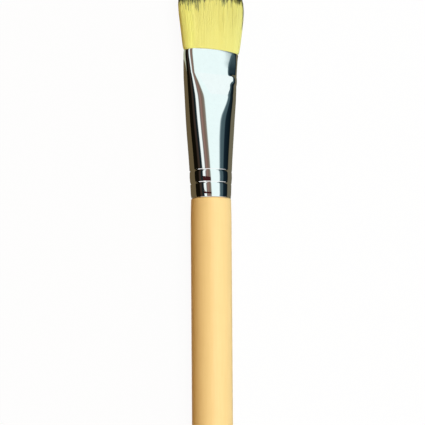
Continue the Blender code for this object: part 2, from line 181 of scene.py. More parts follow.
# Rows of (height over the rim, where the press's bevel starts from the middle)
BEVEL_EDGE_ROWS = ((0.0356, 0.0043), (0.0372, 0.0045), (0.0394, 0.0051), (0.0413, 0.0059))
SLIM_SHARES = ((0.0, 0.0), (0.15, 0.03), (0.35, 0.17), (0.55, 0.4), (0.78, 0.74), (1.0, 1.0))
SWELL_SHARES = ((0.0, 0.0), (0.36, 0.5), (0.7, 0.86), (1.0, 1.0))
FAN_WIDTH_SHARES = (
    (0.0, 0.0), (0.012, 0.25), (0.04, 0.36), (0.14, 0.5),
    (0.26, 0.65), (0.4, 0.84), (0.55, 1.0), (1.0, 1.0),
)
FAN_THICKNESS_SHARES = ((0.0, 0.0), (0.2, 1.0), (0.4, 0.95), (1.0, 1.0))
TIP_THINNING_START_SHARE = 0.3
TIP_NARROWING_START_SHARE = 0.6

MOUTH_HEIGHT = SEAT_GAP + FERRULE_LENGTH
# Rows of (height, how far the pressed end and the tuft lean to one side)
LEAN_ROWS = (
    (0.0, -0.00008), (0.020, -0.00006), (0.0325, 0.0), (MOUTH_HEIGHT - 0.0015, 0.00022),
    (MOUTH_HEIGHT + 0.0006, 0.00043), (MOUTH_HEIGHT + 0.0085, 0.00053),
    (MOUTH_HEIGHT + TUFT_LENGTH, 0.00052),
)
AXIS_X = (HANDLE_LENGTH - MOUTH_HEIGHT - TUFT_LENGTH) / 2
AXIS_Z = HANDLE_RADIUS * math.cos(math.pi / HANDLE_FACETS)
LAID_DOWN = Matrix.Translation((AXIS_X, 0.0, AXIS_Z)) @ Matrix.Rotation(math.pi / 2, 4, "Y")

# Colours of the pieces
LACQUER_GRAIN = ((0.90, 0.655, 0.275), (0.93, 0.685, 0.30))
LACQUER_CLOUD = (0.885, 0.635, 0.262)
PLATE_WEAR = ((0.94, 0.945, 0.94), (0.965, 0.97, 0.965))
RESIN_CLOUD = ((0.55, 0.30, 0.08), (0.75, 0.48, 0.17))
# Painted shade in the grooves between the thread's turns, and the thread's own colour on the turns
THREAD_SHADE = (0.52, 0.49, 0.42)
THREAD_LIGHT = (0.86, 0.83, 0.76)
DYED_STRANDS = ((0.012, 0.022, 0.010), (0.06, 0.075, 0.03))
# Rows of (strand's tint, colour)
PALE_STRANDS = (
    (0.0, (0.735, 0.665, 0.14)), (0.3, (0.765, 0.71, 0.18)),
    (0.6, (0.785, 0.745, 0.21)), (1.0, (0.805, 0.775, 0.27)),
)
SHEEN_COLOUR = (1.0, 0.95, 0.45)
# Painted light: the strands' colour is multiplied by these at the tuft's sides, lightening the left edge
# and making the right side paler and cooler
LEFT_EDGE_PAINTED_LIGHT = (1.12, 1.18, 1.1)
RIGHT_SIDE_PAINTED_LIGHT = (1.0, 1.04, 1.12)
# Nearly all of a noise texture lies between these
NOISE_LOW = 0.3
NOISE_HIGH = 0.7

# Colours of the bands and cards that reflections see
BLACK_CLOTH = (0.005, 0.004, 0.002)
BROWN_CARD = (0.042, 0.028, 0.021)
TEAL_SHADE = (0.007, 0.014, 0.017)
TEAL_CARD = (0.012, 0.021, 0.022)
WHITE_STRIP = (0.92, 1.0, 0.99)
TAN_CARD = (0.2, 0.155, 0.135)
ROSE_CARD = (0.3, 0.18, 0.15)
UMBER_CARD = (0.2, 0.13, 0.1)
OLIVE_BROWN_CARD = (0.2, 0.165, 0.13)
GREY_CARD = (0.25, 0.23, 0.19)
WHITE_BOX_LEFT = (0.855, 1.0, 0.99)
WHITE_BOX_RIGHT = (0.865, 1.0, 1.0)
SLATE_CARD = (0.14, 0.21, 0.235)
DARK_SLATE_CARD = (0.07, 0.115, 0.132)
DEEP_SLATE_CARD = (0.068, 0.112, 0.128)
NAVY_CLOTH = (0.007, 0.017, 0.026)
BLACK_TEAL_CLOTH = (0.003, 0.007, 0.009)
OLIVE_GROUND = (0.155, 0.14, 0.092)
BROWN_OLIVE_GROUND = (0.125, 0.094, 0.048)
PALE_GROUND = (0.42, 0.44, 0.32)
WARM_GROUND = (0.26, 0.15, 0.06)
DARK_RED_CARD = (0.05, 0.012, 0.012)
END_WHITE = (0.9, 1.0, 1.0)

# Rows of (degrees from straight up towards -Y, colour that reflections see there)
TENT_BANDS = (
    (-92, BLACK_CLOTH), (-82, BLACK_CLOTH), (-76, BROWN_CARD), (-70, BROWN_CARD),
    (-65, TEAL_SHADE), (-57, TEAL_CARD), (-53.5, WHITE_STRIP), (-43, WHITE_STRIP),
    (-40.5, TAN_CARD), (-37, TAN_CARD), (-33, ROSE_CARD), (-27, UMBER_CARD),
    (-21, OLIVE_BROWN_CARD), (-17, GREY_CARD), (-13, WHITE_BOX_LEFT), (28, WHITE_BOX_RIGHT),
    (33, SLATE_CARD), (38, DARK_SLATE_CARD), (49, DEEP_SLATE_CARD), (54, NAVY_CLOTH),
    (82, BLACK_TEAL_CLOTH), (88, OLIVE_GROUND), (92, OLIVE_GROUND),
)
TENT_RADIUS = 0.45
CARD_RADIUS = TENT_RADIUS * 0.98
RAMP_END_DEGREES = 100
STAGE_ENDS = (-0.2, 2.5)
DARK_CARD_ENDS = (0.02, 0.088)
END_REFLECTOR_ENDS = (0.38, STAGE_ENDS[1])

# First angle, last angle and step of each bent card, in degrees from straight up towards -Y
TENT_DEGREES = (92, -92, 2)
DARK_CARD_DEGREES = (-57, -15, 2)
END_REFLECTOR_DEGREES = (20, 36, 1)

# Ground cards, by how far from the brush's axis they start and reach
GROUND_START = 0.0065
NEAR_GROUND_REACH = 0.027
WARM_GROUND_REACH = 0.12
GROUND_REACH = 0.45
GROUND_CARD_HEIGHT = 0.0001
PALE_GROUND_START = 0.0663

# Floor, surroundings and lamps
FLOOR_SIZE = 3.0
FLOOR_DROP = 0.00001
FLOOR_COLOUR = (0.82, 0.82, 0.81)
FLOOR_GLOW_SHARE = 0.95
UNSEEN_WORLD_STRENGTH = 0.1
LAMP_TARGET = (0.03, 0.0, AXIS_Z)
LAMP_SIZE = (1.0, 0.4)

# Camera, fitted to the photograph's outline
PHOTO_PIXELS = 425
FOCAL_PIXELS = 900.0
CAMERA_DISTANCE = 0.25
CAMERA_SIDE_TILT = math.radians(21.85)
CAMERA_END_TILT = math.radians(6.5)
CAMERA_ROLL = math.radians(-0.4)
AIM_ALONG = 0.02188
AIM_ACROSS = 0.000405


def between(start, end, share):
    return start + (end - start) * share


def clamp_share(value):
    return min(1.0, max(0.0, value))


def ease(value):
    share = clamp_share(value)
    return share * share * (3 - 2 * share)


def smooth_value(rows, at):
    """The value on the smooth curve through rows of (place, value), which never overshoots."""
    places = [row[0] for row in rows]
    values = [row[1] for row in rows]
    if at <= places[0]:
        return values[0]
    if at >= places[-1]:
        return values[-1]
    slopes = [(values[i + 1] - values[i]) / (places[i + 1] - places[i]) for i in range(len(rows) - 1)]
    tangents = [slopes[0]]
    for before, after in zip(slopes, slopes[1:]):
        tangents.append(0.0 if before * after <= 0 else 2 * before * after / (before + after))
    tangents.append(slopes[-1])
    i = max(index for index, start in enumerate(places[:-1]) if start <= at)
    span = places[i + 1] - places[i]
    t = (at - places[i]) / span
    start_weight = (1 + 2 * t) * (1 - t) ** 2
    end_weight = t * t * (3 - 2 * t)
    lean_in = t * (1 - t) ** 2 * span * tangents[i]
    lean_out = t * t * (t - 1) * span * tangents[i + 1]
    return start_weight * values[i] + end_weight * values[i + 1] + lean_in + lean_out


# Shapes of the ferrule

def pressed_in(height):
    """How far the turned rim and the crimps, with a swell between them, press the tube in."""
    share = clamp_share(1 - height / RIM_TURN_LENGTH)
    depth = RIM_TURN_DEPTH * share * share
    for crimp_height in CRIMP_HEIGHTS:
        away = abs(height - crimp_height) / CRIMP_HALF_WIDTH
        if away < 1:
            depth += CRIMP_DEPTH * math.cos(away * math.pi / 2) ** 2
    between_crimps = clamp_share((height - CRIMP_HEIGHTS[0]) / (CRIMP_HEIGHTS[1] - CRIMP_HEIGHTS[0]))
    return depth - CRIMP_SWELL * math.sin(between_crimps * math.pi) ** 2


def ferrule_section(height, flat_shares=None):
    """Half-width, half-thickness and half the flat of the tube at a height over its rim.

    The press has left a wider flat on the right than on the left, and without shares of
    one side the flat is the mean of the two.
    """
    blend_length = FERRULE_LENGTH - PRESS_LENGTH
    if height >= blend_length:
        share = (height - blend_length) / PRESS_LENGTH
        half_width = between(PRESS_HALF_WIDTH, MOUTH_HALF_WIDTH, share)
        half_thickness = between(PRESS_HALF_THICKNESS, MOUTH_HALF_THICKNESS, share)
        return half_width, half_thickness, between(PRESS_FLAT_HALF_WIDTH, MOUTH_FLAT_HALF_WIDTH, share)
    share = max(0.0, height) / blend_length
    half_width = between(FERRULE_RIM_RADIUS, PRESS_HALF_WIDTH, smooth_value(WIDTH_SHARES, share))
    half_thickness = between(
        FERRULE_RIM_RADIUS, PRESS_HALF_THICKNESS, smooth_value(THICKNESS_SHARES, share)
    )
    if flat_shares:
        flat_share = smooth_value(flat_shares, share)
    else:
        flat_share = (smooth_value(LEFT_FLAT_SHARES, share) + smooth_value(RIGHT_FLAT_SHARES, share)) / 2
    half_flat = PRESS_FLAT_HALF_WIDTH * flat_share
    pressed = pressed_in(height)
    return half_width - pressed, half_thickness - pressed, half_flat


def inset_section(section, inset):
    half_width, half_thickness, half_flat = section
    return half_width - inset, half_thickness - inset, min(half_flat, half_width - inset)


def quarter_outline(section, steps):
    """Points (thickness, width) from the middle of the flat to the side, evenly spaced."""
    half_width, half_thickness, half_flat = section
    corner = half_width - half_flat
    fine = [(half_thickness, 0.0)]
    for step in range(OUTLINE_STEPS + 1):
        angle = math.pi / 2 * step / OUTLINE_STEPS
        fine.append((half_thickness * math.cos(angle), half_flat + corner * math.sin(angle)))
    lengths = [0.0]
    for start, end in zip(fine, fine[1:]):
        lengths.append(lengths[-1] + math.dist(start, end))
    points = []
    segment = 0
    for step in range(steps + 1):
        target = lengths[-1] * step / steps
        while segment < len(fine) - 2 and lengths[segment + 1] < target:
            segment += 1
        span = lengths[segment + 1] - lengths[segment]
        share = (target - lengths[segment]) / span if span > 0 else 0.0
        start, end = fine[segment], fine[segment + 1]
        points.append((between(start[0], end[0], share), between(start[1], end[1], share)))
    return points


# Making pieces

def mesh_object(name, mesh, material, nodes, smooth_degrees=40.0):
    """Lays an upright bmesh down, and makes it a piece of the brush."""
    bmesh.ops.remove_doubles(mesh, verts=mesh.verts[:], dist=MERGE_DISTANCE)
    bmesh.ops.recalc_face_normals(mesh, faces=mesh.faces[:])
    bmesh.ops.transform(mesh, matrix=LAID_DOWN, verts=mesh.verts[:])
    data = bpy.data.meshes.new(name)
    mesh.to_mesh(data)
    mesh.free()
    data.shade_smooth()
    data.set_sharp_from_angle(angle=math.radians(smooth_degrees))
    make_piece(name, data, material, nodes)


def make_piece(name, data, material, nodes):
    """Puts a mesh in the scene as a piece that takes the place of nodes of the CAD."""
    data.materials.clear()
    data.materials.append(material)
    piece = bpy.data.objects.new(name, data)
    bpy.context.scene.collection.objects.link(piece)
    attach(piece, "root")
    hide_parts(*nodes)


def turned_piece(name, profile, steps, material, nodes):
    """A profile of (radius, height) points, spun once round the upright axis."""
    mesh = bmesh.new()
    verts = [mesh.verts.new((radius, 0.0, height)) for radius, height in profile]
    edges = [mesh.edges.new(pair) for pair in zip(verts, verts[1:])]
    bmesh.ops.spin(
        mesh, geom=verts + edges, cent=(0, 0, 0), axis=(0, 0, 1), dvec=(0, 0, 0),
        angle=2 * math.pi, steps=steps, use_merge=True, use_normal_flip=False, use_duplicate=False,
    )
    mesh_object(name, mesh, material, nodes)


# Materials

class Paint:
    """Short words for building a node material."""

    def __init__(self, name):
        self.material = bpy.data.materials.new(name)
        self.material.use_nodes = True
        self.nodes = self.material.node_tree.nodes
        self.links = self.material.node_tree.links
        self.shader = self.nodes["Principled BSDF"]

    def join(self, output, socket):
        self.links.new(output, socket)

    def place(self, scale=(1.0, 1.0, 1.0)):
        """Object coordinates, stretched."""
        coordinates = self.nodes.new("ShaderNodeTexCoord")
        mapping = self.nodes.new("ShaderNodeMapping")
        mapping.inputs["Scale"].default_value = scale
        self.join(coordinates.outputs["Object"], mapping.inputs["Vector"])
        return mapping.outputs["Vector"]

    def noise(self, place, scale, detail):
        node = self.nodes.new("ShaderNodeTexNoise")
        node.inputs["Scale"].default_value = scale
        node.inputs["Detail"].default_value = detail
        self.join(place, node.inputs["Vector"])
        return node.outputs["Fac"]

    def ramp(self, value, stops):
        """Colours by a value, from rows of (value, colour)."""
        node = self.nodes.new("ShaderNodeValToRGB")
        elements = node.color_ramp.elements
        while len(elements) > 1:
            elements.remove(elements[-1])
        for number, (position, colour) in enumerate(stops):
            element = elements.new(position) if number else elements[0]
            element.position = position
            element.color = (*colour, 1.0)
        self.join(value, node.inputs["Fac"])
        return node.outputs["Color"]

    def rerange(self, value, low, high, to_low, to_high):
        """The stretch of a value from low to high, moved to another stretch."""
        node = self.nodes.new("ShaderNodeMapRange")
        for key, number in (("From Min", low), ("From Max", high), ("To Min", to_low), ("To Max", to_high)):
            node.inputs[key].default_value = number
        self.join(value, node.inputs["Value"])
        return node.outputs["Result"]

    def blend(self, share, first, second, mode="MIX"):
        """Two colours, each a plain one or another node's, blended by a share."""
        node = self.nodes.new("ShaderNodeMix")
        node.data_type = "RGBA"
        node.blend_type = mode
        for value, socket in ((share, node.inputs[0]), (first, node.inputs[6]), (second, node.inputs[7])):
            if isinstance(value, tuple):
                socket.default_value = (*value, 1.0)
            else:
                self.join(value, socket)
        return node.outputs[2]

    def bump(self, height, distance):
        node = self.nodes.new("ShaderNodeBump")
        node.inputs["Distance"].default_value = distance
        self.join(height, node.inputs["Height"])
        self.join(node.outputs["Normal"], self.shader.inputs["Normal"])

    def attribute(self, name):
        node = self.nodes.new("ShaderNodeAttribute")
        node.attribute_name = name
        return node.outputs["Fac"]


def cream_lacquer():
    paint = Paint("cream_lacquer")
    shader = paint.shader
    shader.inputs["Specular IOR Level"].default_value = 0.42
    shader.inputs["Coat Weight"].default_value = 0.2
    shader.inputs["Coat Roughness"].default_value = 0.35
    grain = paint.noise(paint.place((30.0, 420.0, 420.0)), scale=4.0, detail=4.0)
    cloud = paint.noise(paint.place(), scale=160.0, detail=2.0)
    base = paint.ramp(grain, zip((NOISE_LOW, NOISE_HIGH), LACQUER_GRAIN))
    base = paint.blend(paint.rerange(cloud, NOISE_LOW, NOISE_HIGH, 0.0, 0.35), base, LACQUER_CLOUD)
    paint.join(base, shader.inputs["Base Color"])
    paint.join(paint.rerange(cloud, NOISE_LOW, NOISE_HIGH, 0.44, 0.52), shader.inputs["Roughness"])
    skin = paint.noise(paint.place(), scale=900.0, detail=2.0)
    paint.bump(skin, distance=0.000004)
    return paint.material


def bright_plate():
    paint = Paint("bright_plate")
    shader = paint.shader
    shader.inputs["Metallic"].default_value = 1.0
    drawn = paint.noise(paint.place((25.0, 900.0, 900.0)), scale=3.0, detail=3.0)
    wear = paint.noise(paint.place(), scale=700.0, detail=4.0)
    plate = paint.ramp(wear, zip((NOISE_LOW, NOISE_HIGH), PLATE_WEAR))
    paint.join(plate, shader.inputs["Base Color"])
    paint.join(paint.rerange(wear, 0.35, 0.75, 0.03, 0.06), shader.inputs["Roughness"])
    paint.bump(drawn, distance=0.0000008)
    return paint.material


def two_tone_filament():
    """Pale strands whose ends are dyed, with painted light at the tuft's sides: a lighter left edge and a
    paler, cooler right side. over_line is the height over the colour line in mm.
    """
    paint = Paint("two_tone_filament")
    shader = paint.shader
    tint = paint.attribute("strand_tint")
    tuft_side = paint.attribute("tuft_side")
    over_line = paint.attribute("over_line")
    shader.inputs["Sheen Weight"].default_value = 0.5
    shader.inputs["Sheen Roughness"].default_value = 0.5
    shader.inputs["Sheen Tint"].default_value = (*SHEEN_COLOUR, 1.0)
    pale = paint.ramp(tint, PALE_STRANDS)
    # Painted light: the tuft's left edge is lightened and its right side made paler and cooler
    left_painted_light = paint.rerange(tuft_side, -1.0, -0.85, 0.8, 0.0)
    right_painted_light = paint.rerange(tuft_side, 0.2, 1.0, 0.0, 0.8)
    pale = paint.blend(left_painted_light, pale, LEFT_EDGE_PAINTED_LIGHT, "MULTIPLY")
    pale = paint.blend(right_painted_light, pale, RIGHT_SIDE_PAINTED_LIGHT, "MULTIPLY")
    dark = paint.ramp(tint, zip((0.0, 1.0), DYED_STRANDS))
    change = paint.rerange(over_line, -0.25, 0.35, 0.0, 1.0)
    paint.join(paint.blend(change, pale, dark), shader.inputs["Base Color"])
    paint.join(paint.rerange(tint, 0.0, 1.0, 0.5, 0.38), shader.inputs["Roughness"])
    return paint.material


def set_resin():
    paint = Paint("amber_resin")
    shader = paint.shader
    shader.inputs["Transmission Weight"].default_value = 0.35
    shader.inputs["IOR"].default_value = 1.54
    cloud = paint.noise(paint.place(), scale=400.0, detail=4.0)
    amber = paint.ramp(cloud, zip((NOISE_LOW, NOISE_HIGH), RESIN_CLOUD))
    paint.join(amber, shader.inputs["Base Color"])
    paint.join(paint.rerange(cloud, NOISE_LOW, NOISE_HIGH, 0.18, 0.3), shader.inputs["Roughness"])
    paint.bump(cloud, distance=0.00002)
    return paint.material


def waxed_thread():
    paint = Paint("waxed_thread")
    shader = paint.shader
    shader.inputs["Sheen Weight"].default_value = 0.3
    wave = paint.nodes.new("ShaderNodeTexWave")
    wave.wave_type = "BANDS"
    wave.bands_direction = "X"
    wave.inputs["Scale"].default_value = 900.0
    wave.inputs["Distortion"].default_value = 0.6
    paint.join(paint.place(), wave.inputs["Vector"])
    turns = wave.outputs["Fac"]
    # Painted shade: the thread is darker in the grooves between its turns
    thread = paint.ramp(turns, ((0.0, THREAD_SHADE), (0.6, THREAD_LIGHT)))
    paint.join(thread, shader.inputs["Base Color"])
    paint.join(paint.rerange(turns, 0.0, 1.0, 0.9, 0.7), shader.inputs["Roughness"])
    paint.bump(turns, distance=0.00006)
    return paint.material


# Handle

def tenon_radius(height):
    return ferrule_section(height - SEAT_GAP)[1] - FERRULE_WALL - FIT_GAP


def handle_profile():
    """From the tenon's end down the outside to the tail."""
    groove_bottom = tenon_radius(GLUE_GROOVE_HEIGHT) - GLUE_GROOVE_DEPTH
    groove_top = GLUE_GROOVE_HEIGHT + GLUE_GROOVE_WIDTH / 2
    groove_foot = GLUE_GROOVE_HEIGHT - GLUE_GROOVE_WIDTH / 2
    profile = [(0.0, TENON_LENGTH), (tenon_radius(TENON_LENGTH) - TENON_CHAMFER, TENON_LENGTH)]
    profile.append((tenon_radius(TENON_LENGTH - TENON_CHAMFER), TENON_LENGTH - TENON_CHAMFER))
    profile.append((tenon_radius(groove_top), groove_top))
    profile.append((groove_bottom, groove_top))
    profile.append((groove_bottom, groove_foot))
    profile.append((tenon_radius(groove_foot), groove_foot))
    for step in range(1, TENON_STEPS + 1):
        height = between(groove_foot, SEAT_GAP, step / TENON_STEPS)
        profile.append((tenon_radius(height), height))
    profile.append((tenon_radius(SEAT_GAP), 0.0))
    for step in range(SHOULDER_STEPS + 1):
        angle = math.pi / 2 * step / SHOULDER_STEPS
        radius = SHOULDER_RADIUS - SHOULDER_EASE * (1 - math.sin(angle))
        profile.append((radius, -SHOULDER_EASE * (1 - math.cos(angle))))
    for step in range(1, SWELL_STEPS + 1):
        share = step / SWELL_STEPS
        radius = between(SHOULDER_RADIUS, LACQUERED_RADIUS, smooth_value(SWELL_SHARES, share))
        profile.append((radius, -between(SHOULDER_EASE, SHOULDER_SWELL_LENGTH, share)))
    for step in range(1, GRIP_STEPS + 1):
        share = step / GRIP_STEPS
        radius = between(LACQUERED_RADIUS, HANDLE_GRIP_END_RADIUS, share)
        profile.append((radius, -between(SHOULDER_SWELL_LENGTH, HANDLE_GRIP_LENGTH, share)))
    slim_length = HANDLE_LENGTH - HANDLE_GRIP_LENGTH - TAIL_DOME_LENGTH
    for step in range(1, SLIM_STEPS + 1):
        share = step / SLIM_STEPS
        radius = between(HANDLE_GRIP_END_RADIUS, HANDLE_TAIL_RADIUS, smooth_value(SLIM_SHARES, share))
        profile.append((radius, -HANDLE_GRIP_LENGTH - share * slim_length))
    for step in range(1, DOME_STEPS + 1):
        angle = math.pi / 2 * step / DOME_STEPS
        height = -HANDLE_LENGTH + TAIL_DOME_LENGTH * (1 - math.sin(angle))
        profile.append((HANDLE_TAIL_RADIUS * math.cos(angle), height))
    profile[-1] = (0.0, -HANDLE_LENGTH)
    return profile


def lean(height):
    return smooth_value(LEAN_ROWS, height)


def build_handle():
    lacquer = cream_lacquer()
    profile = handle_profile()
    turned_piece("lacquered_handle", profile, HANDLE_SPIN_STEPS, lacquer, ["handle"])


# Ferrule

def ferrule_rings():
    """Rows of (height over the rim, inset) once round the wall: up outside, down inside."""
    radius = FERRULE_WALL / 2
    top = FERRULE_LENGTH - radius
    close_places = [(height, CLOSE_RINGS_HALF_WIDTH) for height in CRIMP_HEIGHTS]
    close_places += [(0.0, RIM_TURN_LENGTH), (BEVEL_FOOT + BEVEL_FOOT_LENGTH / 2, BEVEL_FOOT_LENGTH)]
    outside = [radius - RIM_DROP]
    while outside[-1] < top:
        close = any(abs(outside[-1] - place) < reach for place, reach in close_places)
        outside.append(min(top, outside[-1] + (CLOSE_RING_STEP if close else RING_STEP)))
    rim_turns = [math.pi / 2 * step / RIM_STEPS for step in range(RIM_STEPS)]
    rows = []
    for turn in reversed(rim_turns[1:]):
        rows.append((radius * (1 - math.sin(turn)) - RIM_DROP, radius * (1 - math.cos(turn))))
    rows += [(height, 0.0) for height in outside]
    lip_turns = [math.pi * step / LIP_STEPS for step in range(1, LIP_STEPS + 1)]
    rows += [(top + radius * math.sin(turn), radius * (1 - math.cos(turn))) for turn in lip_turns]
    rows += [(height, FERRULE_WALL) for height in outside[-3::-2]]
    for turn in rim_turns:
        inset = FERRULE_WALL - radius * (1 - math.cos(turn))
        rows.append((radius * (1 - math.sin(turn)) - RIM_DROP, inset))
    return rows


def bevel_drop(height, width):
    """How far the pressed face lies under its plane right of the middle.

    It is crowned up to an edge, and past the edge the press has left a short bevel.
    """
    edge = smooth_value(BEVEL_EDGE_ROWS, height)
    away = -width
    if away <= CROWN_START:
        return 0.0
    crown = CROWN_SLOPE * (min(away, edge) - CROWN_START) ** 2 / (edge - CROWN_START) / 2
    bevel = BEVEL_SLOPE * max(0.0, away - edge)
    crowned = ease((height - BEVEL_FOOT) / CROWN_FOOT_LENGTH)
    return crown * crowned + bevel * ease((height - BEVEL_FOOT) / BEVEL_FOOT_LENGTH)


def build_ferrule():
    """A straight tube is raised ring by ring, and each ring then takes its section."""
    quarter_sides = FERRULE_SIDES // 4
    mesh = bmesh.new()
    first = bmesh.ops.create_circle(mesh, segments=FERRULE_SIDES, radius=1.0, cap_ends=False)["verts"]
    rows = ferrule_rings()
    first_edges = list({edge for vert in first for edge in vert.link_edges})
    rim = first_edges
    rings = [first]
    for _ in rows[1:]:
        grown = bmesh.ops.extrude_edge_only(mesh, edges=rim)["geom"]
        rim = [item for item in grown if isinstance(item, bmesh.types.BMEdge) and item.is_boundary]
        rings.append([item for item in grown if isinstance(item, bmesh.types.BMVert)])
    bmesh.ops.bridge_loops(mesh, edges=first_edges + rim)
    for (height, inset), ring in zip(rows, rings):
        halves = [ferrule_section(height, shares) for shares in (LEFT_FLAT_SHARES, RIGHT_FLAT_SHARES)]
        left, right = [quarter_outline(inset_section(half, inset), quarter_sides) for half in halves]
        bowed = ease(1 - (FERRULE_LENGTH - height) / MOUTH_BOW_REACH)
        sideways = lean(SEAT_GAP + height)
        for vert in ring:
            index = round(abs(math.atan2(vert.co.y, vert.co.x)) / (2 * math.pi) * FERRULE_SIDES)
            outline = left if vert.co.y > 0 else right
            thick, wide = outline[min(index, FERRULE_SIDES // 2 - index)]
            wide = math.copysign(wide, vert.co.y)
            share = wide / MOUTH_HALF_WIDTH
            if index < quarter_sides:
                vert.co.x = -min(thick, outline[0][0] - bevel_drop(height, wide))
            else:
                vert.co.x = thick
            vert.co.y = wide - sideways
            lip = MOUTH_RISE - MOUTH_BOW * share ** 2 + MOUTH_SKEW * share ** 3
            vert.co.z = SEAT_GAP + height + bowed * lip
    mesh_object("pressed_ferrule", mesh, bright_plate(), ["ferrule"], smooth_degrees=60.0)


# Tuft

def tuft_section(height):
    """Half-width, half-thickness and half the flat of the bundle of filaments."""
    inset = FERRULE_WALL + MOUTH_CLEARANCE + FILAMENT_RADIUS
    if height <= MOUTH_HEIGHT:
        squeeze = ROOT_SQUEEZE * ease((MOUTH_HEIGHT - height) / ROOT_SQUEEZE_DEPTH)
        return inset_section(ferrule_section(height - SEAT_GAP), inset + squeeze)
    half_width, half_thickness, half_flat = inset_section(ferrule_section(FERRULE_LENGTH), inset)
    share = (height - MOUTH_HEIGHT) / TUFT_LENGTH
    wide = between(half_width, TUFT_HALF_WIDTH, smooth_value(FAN_WIDTH_SHARES, share))
    thick = between(half_thickness, TUFT_HALF_THICKNESS, smooth_value(FAN_THICKNESS_SHARES, share))
    thinning = clamp_share((share - TIP_THINNING_START_SHARE) / (1 - TIP_THINNING_START_SHARE))
    narrowing = clamp_share((share - TIP_NARROWING_START_SHARE) / (1 - TIP_NARROWING_START_SHARE))
    thick = between(thick, TUFT_TIP_HALF_THICKNESS, thinning)
    wide = between(wide, TUFT_TIP_HALF_WIDTH, narrowing)
    return wide, thick, half_flat * wide / half_width


class TuftSections:
    """The bundle's sections, worked out once every SECTION_STEP."""

    def __init__(self):
        self.foot = MOUTH_HEIGHT - ROOT_DEPTH
        self.step = SECTION_STEP
        count = int((ROOT_DEPTH + TUFT_LENGTH) / self.step) + 3
        self.rows = [tuft_section(self.foot + self.step * i) for i in range(count)]
        self.leans = [lean(self.foot + self.step * i) for i in range(count)]

    def point(self, across, through, height):
        at = max(0.0, (height - self.foot) / self.step)
        i = min(len(self.rows) - 2, int(at))
        lower, upper = self.rows[i], self.rows[i + 1]
        wide, thick, flat = (between(a, b, at - i) for a, b in zip(lower, upper))
        row = flat + (wide - flat) * math.sqrt(max(0.0, 1 - through * through))
        return through * thick, across * row - self.leans[i], height


def clump_curve(chance, count, spread):
    """A smooth random line over shares from -1 to 1."""
    values = [chance.uniform(-spread, spread) for _ in range(count)]

    def at(share):
        place = (share + 1) / 2 * (count - 1)
        i = max(0, min(count - 2, int(place)))
        return between(values[i], values[i + 1], ease(place - i))

    return at


